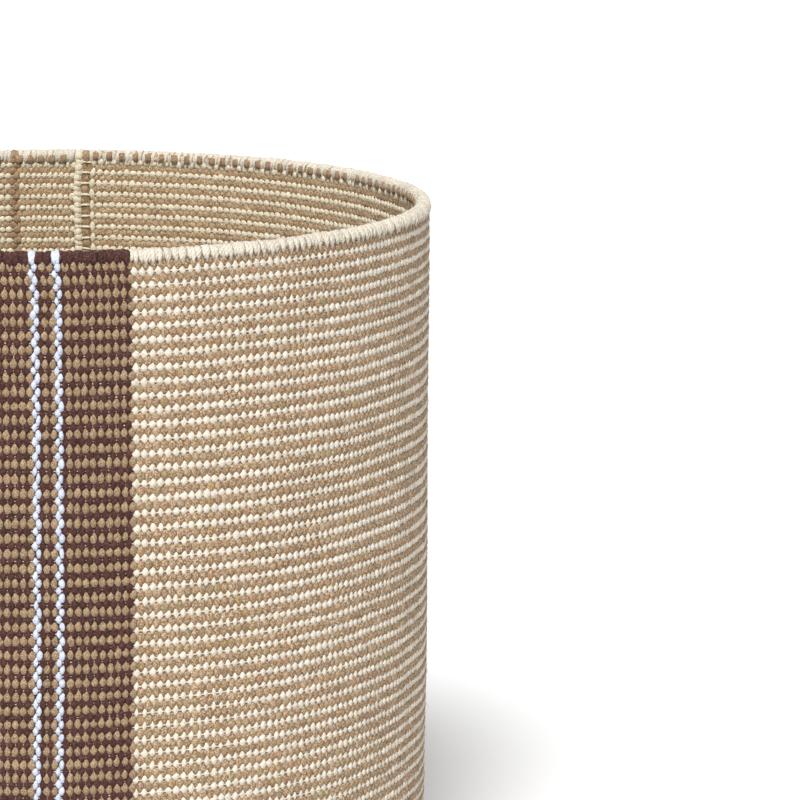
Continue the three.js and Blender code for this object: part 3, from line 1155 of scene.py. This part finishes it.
def growWall(node, weave, first, last, pairs, side, seed, left, right):
    look = weaves[weave]
    inside = side == "inner"
    arc = math.radians(last - first)
    wide = right - left
    shared = faceOf(side) | {
        "First angle": math.radians(first),
        "Pair angle": math.radians((last - first) / pairs),
        "Pairs": pairs,
        "Tilt spread": math.radians(cloth["tiltSpread"]),
        "Size spread": look["spread"],
        "Place spread": cloth["placeSpread"],
    }
    pitch = cloth["pairPitch" if weave in ("natural", "tanLine") else "stripePitch"]
    fit = arc * wallRadius / pairs / pitch
    places = look.get("across", (0.25, 0.75))
    parts = []
    for k, (key, firstRow, low) in enumerate([("First", 0.0, 0.0), ("Second", -0.5, 0.48)]):
        finish, (width, rise, length) = look["inner" + key if inside else key.lower()]
        parts.append(grow(node, floatTree, shared | sizeOf((width * fit, rise, length)) | {
            "Yarn": floats["short" if inside else look["shapes"][k]],
            "Rows": rows[side]["count"] + k,
            "Uneven": 0.0 if k or inside else look.get("uneven", 0.0),
            "Across": places[k],
            "First row": firstRow,
            "Seed": seed + 11 * k,
        } | chartOf(finish, left, low, wide, 0.47)))
    backing = cloth[side + "Backing"]
    band = bandMesh(node, first, last, backing, max(2, round((last - first) / facetDegrees)),
                    cloth["backingLevels"])
    # The backing takes the weave's ground; the natural weave's ground is darkened as painted shade between
    # the floats
    chart = chartOf(look["ground"], left, 0.955, wide, 0.02)
    parts.append(dress(node, band, arc * wallRadius, cloth["girth"], chart))
    weftRadius = backing[0] - cloth["innerWeftProud"] if inside else backing[1] + look["weftProud"]
    parts.append(grow(node, weftTree, faceOf(side) | {
        "First angle": math.radians(first),
        "Last angle": math.radians(last),
        "Steps": max(2, round(pairs / 3)),
        "Rows": rows[side]["count"],
        "Radius": weftRadius * mm,
        "Thickness": cloth["weftSize"] * mm,
    } | chartOf("weft", left, 0.978, wide, 0.01)))
    chart = chartOf(strays[weave], left, 0.99, wide, 0.01)
    parts.append(growFibres(node, first, last, cloth[side + "Fluff"], cloth["fluffHeights"],
                            round(pairs * strays["perPair"]), seed + 5, chart))
    return parts


walls = {}
shares = shareChart([node + end for node, *_, end in sectors], [sector[4] for sector in sectors])
for k, (node, weave, first, last, pairs, end) in enumerate(sectors):
    for side, seed in (("outer", 40 * k), ("inner", 40 * k + 7)):
        parts = growWall(node, weave, first, last, pairs, side, seed, *shares[k])
        walls.setdefault((side + "_wall_" + node, end), []).extend(parts)
for (node, end), parts in walls.items():
    makePiece(node + "_cloth" + end, parts, [node])
print("walls woven:", len(walls), "pieces")

# The rim and the foot: the same warp, two yarns to a pair, turned over the two cords. On the inner
# face a square float of the other yarn fills the gap between two gathered bunches.
turns = {
    "outerGather": 0.42,
    "innerGather": 0.1,
    "slant": 0.5,
    "girth": 16.0,
    "squareSize": (3.8, 0.7, 4.8),
    "squareDepth": 4.5,
    "squareRadius": 193.15,
    "squareLean": -7,
    "outerBends": (-30, -10, 10),
    "overBends": (10, 40, 70, 100, 130, 152),
    "innerBends": (152, 168, 184, 200),
    "fluff": (194, 201.2),
    "fluffHeights": (374, 379.9),
    "fluffLength": 2.6,
}
turnFinish = {"natural": "rimCream", "brown": "brown", "lavender": "lavender", "tanLine": "darkTanAndWindowShade"}
turnSectors = sectors + [
    ("natural_right", "natural", 171.1, 172.3, 1, ""),
    ("natural_right", "tanLine", 172.3, 173.2, 1, ""),
    ("natural_right", "natural", 173.2, 174.5, 1, ""),
]

turned = {}
shares = shareChart([sector[0] for sector in turnSectors], [sector[4] for sector in turnSectors])
for k, (node, weave, first, last, pairs, end) in enumerate(turnSectors):
    left = shares[k][0]
    wide = shares[k][1] - left
    arc = math.radians(last - first)
    finish = turnFinish[weave]
    other = "tan" if weave == "natural" else finish
    for place, yarn in (("rim", rimYarn), ("foot", footYarn)):
        parts = turned.setdefault(place + "_turn_" + node, [])
        parts.append(grow(node, turnTree, {
            "Yarn": yarn,
            "First angle": math.radians(first),
            "Yarn angle": arc / pairs / 2,
            "Yarns": 2 * pairs,
            "Outer gather": turns["outerGather"],
            "Inner gather": turns["innerGather"] if pairs > 1 else 0.0,
            "Tip side": -1.0 if place == "rim" else 1.0,
            "Slant": turns["slant"] if pairs > 1 else 0.0,
            "Seed": 700 + k,
        } | chartOf(finish, left, 0.0, wide, 0.86)))
        for bends, under, low in (("outerBends", other, 0.94), ("overBends", finish, 0.955),
                                  ("innerBends", other, 0.97)):
            mesh = underMesh(node, first, last, turns[bends], place == "foot")
            chart = chartOf(under, left, low, wide, 0.014)
            parts.append(dress(node, mesh, arc * wallRadius, turns["girth"], chart))
    parts = turned["rim_turn_" + node]
    # The squares in the rim's inner windows of the natural weave take the darker tan as painted shade of the
    # recess they sit in
    if pairs > 1:
        parts.append(grow(node, floatTree, sizeOf(turns["squareSize"]) | {
            "Yarn": floats["blunt"],
            "First angle": math.radians(first),
            "Pair angle": arc / pairs * 2,
            "Pairs": pairs // 2,
            "Rows": 1,
            "Across": 1.0,
            "First depth": turns["squareDepth"] * mm,
            "Face radius": turns["squareRadius"] * mm,
            "Facing": math.pi,
            "Lie back": math.radians(turns["squareLean"]),
            "Seed": 760 + k,
        } | chartOf("darkTanAndWindowShade" if weave == "natural" else "gold", left, 0.86, wide, 0.08)))
    chart = chartOf(strays[weave], left, 0.985, wide, 0.01)
    parts.append(growFibres(node, first, last, turns["fluff"], turns["fluffHeights"],
                            pairs * strays["onRim"], 60 + k, chart, turns["fluffLength"]))
for node, parts in turned.items():
    makePiece(node + "_yarns", parts, [node])
print("rim and foot yarns turned:", len(turned), "pieces")


# The cords inside the rim and the foot: three strands laid together
cord = {"radius": 2.35, "strands": 3, "layMm": 14, "layDepth": 0.1, "length": 1238.0, "girth": 15.0}


def cordMesh(name, height, sides=9, steps=240):
    lays = round(2 * math.pi * turn["ringRadius"] / (cord["layMm"] * cord["strands"]))
    rings = []
    for k in range(steps + 1):
        angle = 2 * math.pi * k / steps
        ring = []
        for j in range(sides):
            phase = 2 * math.pi * j / sides
            lay = cord["strands"] * (phase + angle * lays / cord["strands"])
            size = cord["radius"] * (1 - cord["layDepth"] + cord["layDepth"] * math.cos(lay))
            ring.append(onRing(turn["ringRadius"] + size * math.cos(phase), angle,
                               height + size * math.sin(phase)))
        rings.append(ring)
    return ringMesh(name, rings, evenly(sides), evenly(steps))


for node, height in (("rim_cord", turn["rimCordHeight"]), ("foot_cord", turn["footCordHeight"])):
    part = dress(node, cordMesh(node, height), cord["length"], cord["girth"], chartOf("jute"))
    makePiece(node + "_laid", [part], [node])
print("cords laid")

# The seam: a thick slanting lacing yarn on one selvedge, a thin one on the other, tan squares
# between them and short cream rungs across. Each row of stitches has its finish, float, size, place
# beside the seam's middle, first row and slant.
# The lacing and rungs take the cream with painted warm light, and the squares the tan with painted light,
# against the shade they lie in
lacing = {
    "stitches": [
        ("creamPaintedWarmLight", "pointed", (5.8, 1.8, 7.4), 3.2, 0.0, 24),
        ("creamPaintedWarmLight", "pointed", (5.8, 1.8, 7.4), 3.5, -0.5, 24),
        ("creamPaintedWarmLight", "pointed", (3.9, 1.6, 7.8), -5.1, 0.0, 0),
        ("tanPaintedLight", "blunt", (4.5, 0.6, 5.4), -0.9, -0.5, 0),
        ("creamPaintedWarmLight", "pointed", (8.4, 1.4, 1.9), -0.9, 0.0, 0),
    ],
    "tiltSpread": 10,
    "sizeSpread": 0.14,
    "placeSpread": 0.02,
    "width": 12.0,
    "backingLevels": 30,
    "outerFluff": (200.4, 201.8),
    "innerFluff": (192.4, 194),
    "fluffFrom": 0.4,
    "fluffTo": 2.1,
    "fluffCount": 260,
    "fluffLength": 4.5,
}

for side in ("outer", "inner"):
    node = side + "_seam_lacing"
    centre = seam["centre"]
    band = bandMesh(node, centre - seam["halfWidth"], centre + seam["halfWidth"], cloth[side + "Backing"], 2,
                    lacing["backingLevels"])
    parts = [dress(node, band, lacing["width"], cloth["girth"], chartOf("ground", 0.9, 0.0, 0.1, 1.0))]
    for k, (finish, shape, size, offset, firstRow, tilt) in enumerate(lacing["stitches"]):
        parts.append(grow(node, floatTree, faceOf(side) | sizeOf(size) | {
            "Yarn": floats[shape],
            "First angle": math.radians(centre) + offset / wallRadius,
            "Pairs": 1,
            "Rows": rows[side]["count"] + (firstRow < 0),
            "Across": 0.0,
            "First row": firstRow,
            "Tilt": math.radians(tilt),
            "Tilt spread": math.radians(lacing["tiltSpread"]),
            "Size spread": lacing["sizeSpread"],
            "Place spread": lacing["placeSpread"],
            "Seed": 901 + k,
        } | chartOf(finish, 0.18 * k, 0.0, 0.18, 0.98)))
    parts.append(growFibres(node, centre + lacing["fluffFrom"], centre + lacing["fluffTo"],
                            lacing[side + "Fluff"], cloth["fluffHeights"], lacing["fluffCount"],
                            80 + (side == "inner"), chartOf("creamPaintedWarmLight", 0.0, 0.99, 0.9, 0.01),
                            lacing["fluffLength"]))
    makePiece(node + "_stitches", parts, [node])
print("seam laced")

# The base: two woven discs, and overcast stitches that tie them to the turned warp
base = {
    "radius": 192.0,
    "length": 380.0,
    "girth": 1200.0,
    "margin": 3.2,
    "corners": (60, 125),
    "bevel": 1,
    "facets": 96,
    "pairPitch": 4.7,
    "rowPitch": 7.6,
    "first": (3.7, 1.2, 4.9),
    "second": (4.5, 1.0, 6.7),
    "stitch": (2.5, 1.5, 6.4),
    "stitchTilt": 14,
    "stitchTiltSpread": 6,
    "stitches": 300,
}


def discMesh(name, bottom, top):
    edge = base["radius"] - base["bevel"]
    outline = [(radius, bottom) for radius in (*base["corners"], edge)]
    outline += [(base["radius"], (bottom + top) / 2)]
    outline += [(radius, top) for radius in (edge, *base["corners"][::-1])]
    angles = [2 * math.pi * k / base["facets"] for k in range(base["facets"])]
    rings = [[onRing(radius, angle, z) for angle in angles] for radius, z in outline]
    rings = [[(0, 0, bottom * mm)], *rings, [(0, 0, top * mm)]]
    return ringMesh(name, rings, evenly(base["facets"]), evenly(len(rings) - 1))


discs = {
    "base_lower_disc": {"backing": (1.0, 2.7), "face": 1.15, "facing": 90},
    "base_upper_disc": {"backing": (3.0, 4.9), "face": 4.75, "facing": -90},
}
for k, (node, disc) in enumerate(discs.items()):
    shared = {
        "Yarn": floats["short"],
        "Disc radius": (base["radius"] - base["margin"]) * mm,
        "Height": disc["face"] * mm,
        "Pairs": math.ceil(2 * base["radius"] / base["pairPitch"]),
        "Rows": math.ceil(2 * base["radius"] / base["rowPitch"]) + 1,
        "Pair pitch": base["pairPitch"] * mm,
        "Row pitch": base["rowPitch"] * mm,
        "Facing": math.radians(disc["facing"]),
    }
    parts = [dress(node, discMesh(node, *disc["backing"]), base["length"], base["girth"],
                   chartOf("ground", 0.0, 0.98, 1.0, 0.02))]
    for key, finish, across, firstRow, low in (("first", "cream", 0.25, 0.0, 0.0),
                                               ("second", "tan", 0.75, 0.5, 0.49)):
        parts.append(grow(node, discTree, shared | sizeOf(base[key]) | {
            "Across": across,
            "First row": firstRow,
            "Seed": 1200 + 10 * k + len(key),
        } | chartOf(finish, 0.0, low, 1.0, 0.48)))
    makePiece(node + "_cloth", parts, [node])

# Height, radius, facing and lean of the stitches: high ones inside, half way into the corner, and low
# ones under the base
stitchRows = [(7.2, 191.2, math.pi, -48), (0.75, 191.6, 0.0, 86)]
parts = []
for k, (height, radius, facing, lieBack) in enumerate(stitchRows):
    parts.append(grow("base_stitching", floatTree, sizeOf(base["stitch"]) | {
        "Yarn": floats["pointed"],
        "First angle": -math.pi,
        "Pair angle": 2 * math.pi / base["stitches"],
        "Pairs": base["stitches"],
        "Rows": 1,
        "First depth": rimTop - height * mm,
        "Face radius": radius * mm,
        "Facing": facing,
        "Lie back": math.radians(lieBack),
        "Tilt": math.radians(base["stitchTilt"]),
        "Tilt spread": math.radians(base["stitchTiltSpread"]),
        "Place spread": 0.1,
        "Seed": 1300 + k,
    } | chartOf("cream", 0.0, k / 2, 1.0, 0.5)))
makePiece("base_stitching_yarn", parts, ["base_stitching"])
print("base discs woven and stitched")

for helper in (*floats.values(), rimYarn, footYarn):
    bpy.data.objects.remove(helper)

scene.view_settings.view_transform = "Standard"
faces = sum(len(o.data.loops) - 2 * len(o.data.polygons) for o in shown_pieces())
print("triangles:", faces)
